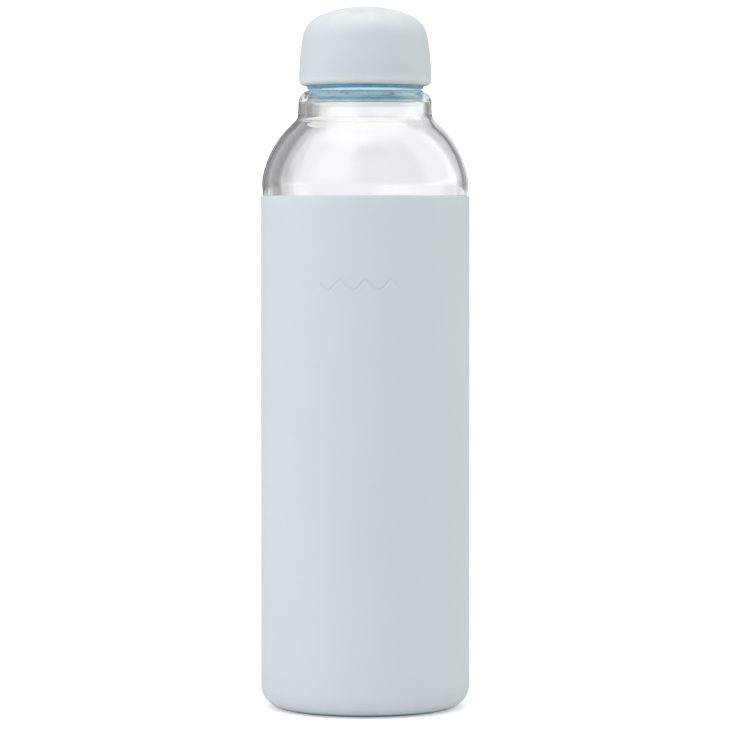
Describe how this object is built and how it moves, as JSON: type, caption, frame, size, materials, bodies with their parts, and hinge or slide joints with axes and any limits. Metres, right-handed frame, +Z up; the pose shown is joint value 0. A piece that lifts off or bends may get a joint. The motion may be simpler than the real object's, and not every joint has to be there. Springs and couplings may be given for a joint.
{
  "type": "water bottle",
  "caption": "Clear glass water bottle in a pale blue-grey silicone sleeve, with a domed soft-touch screw cap on a translucent blue threaded liner.",
  "frame": {"origin": "centre of the base, on the surface that the bottle stands on", "axes": "+Z up along the bottle's axis, towards the cap"},
  "size_m": [0.072, 0.072, 0.2413],
  "materials": {
    "clear_glass": "polished",
    "sleeve_silicone": "matte",
    "cap_silicone": "matte",
    "liner_plastic": "glossy translucent",
    "gasket_silicone": "satin"
  },
  "bodies": {
    "bottle": {"glass_bottle": "clear_glass", "silicone_sleeve": "sleeve_silicone"},
    "cap_seal": {"cap_gasket": "gasket_silicone"},
    "cap": {"cap_shell": "cap_silicone", "cap_liner": "liner_plastic"}
  },
  "joints": [
    {"name": "cap_rise", "type": "slide", "parent": "bottle", "child": "cap_seal", "axis": [0, 0, 1], "range_m": [0, 0.024]},
    {"name": "cap_turn", "type": "hinge", "parent": "cap_seal", "child": "cap", "pos_m": [0, 0, 0.2129], "axis": [0, 0, 1], "range_deg": [0, 720]}
  ],
  "couplings": [
    {"joint": "cap_rise", "follows": "cap_turn", "m_per_rad": 0.0019099}
  ]
}
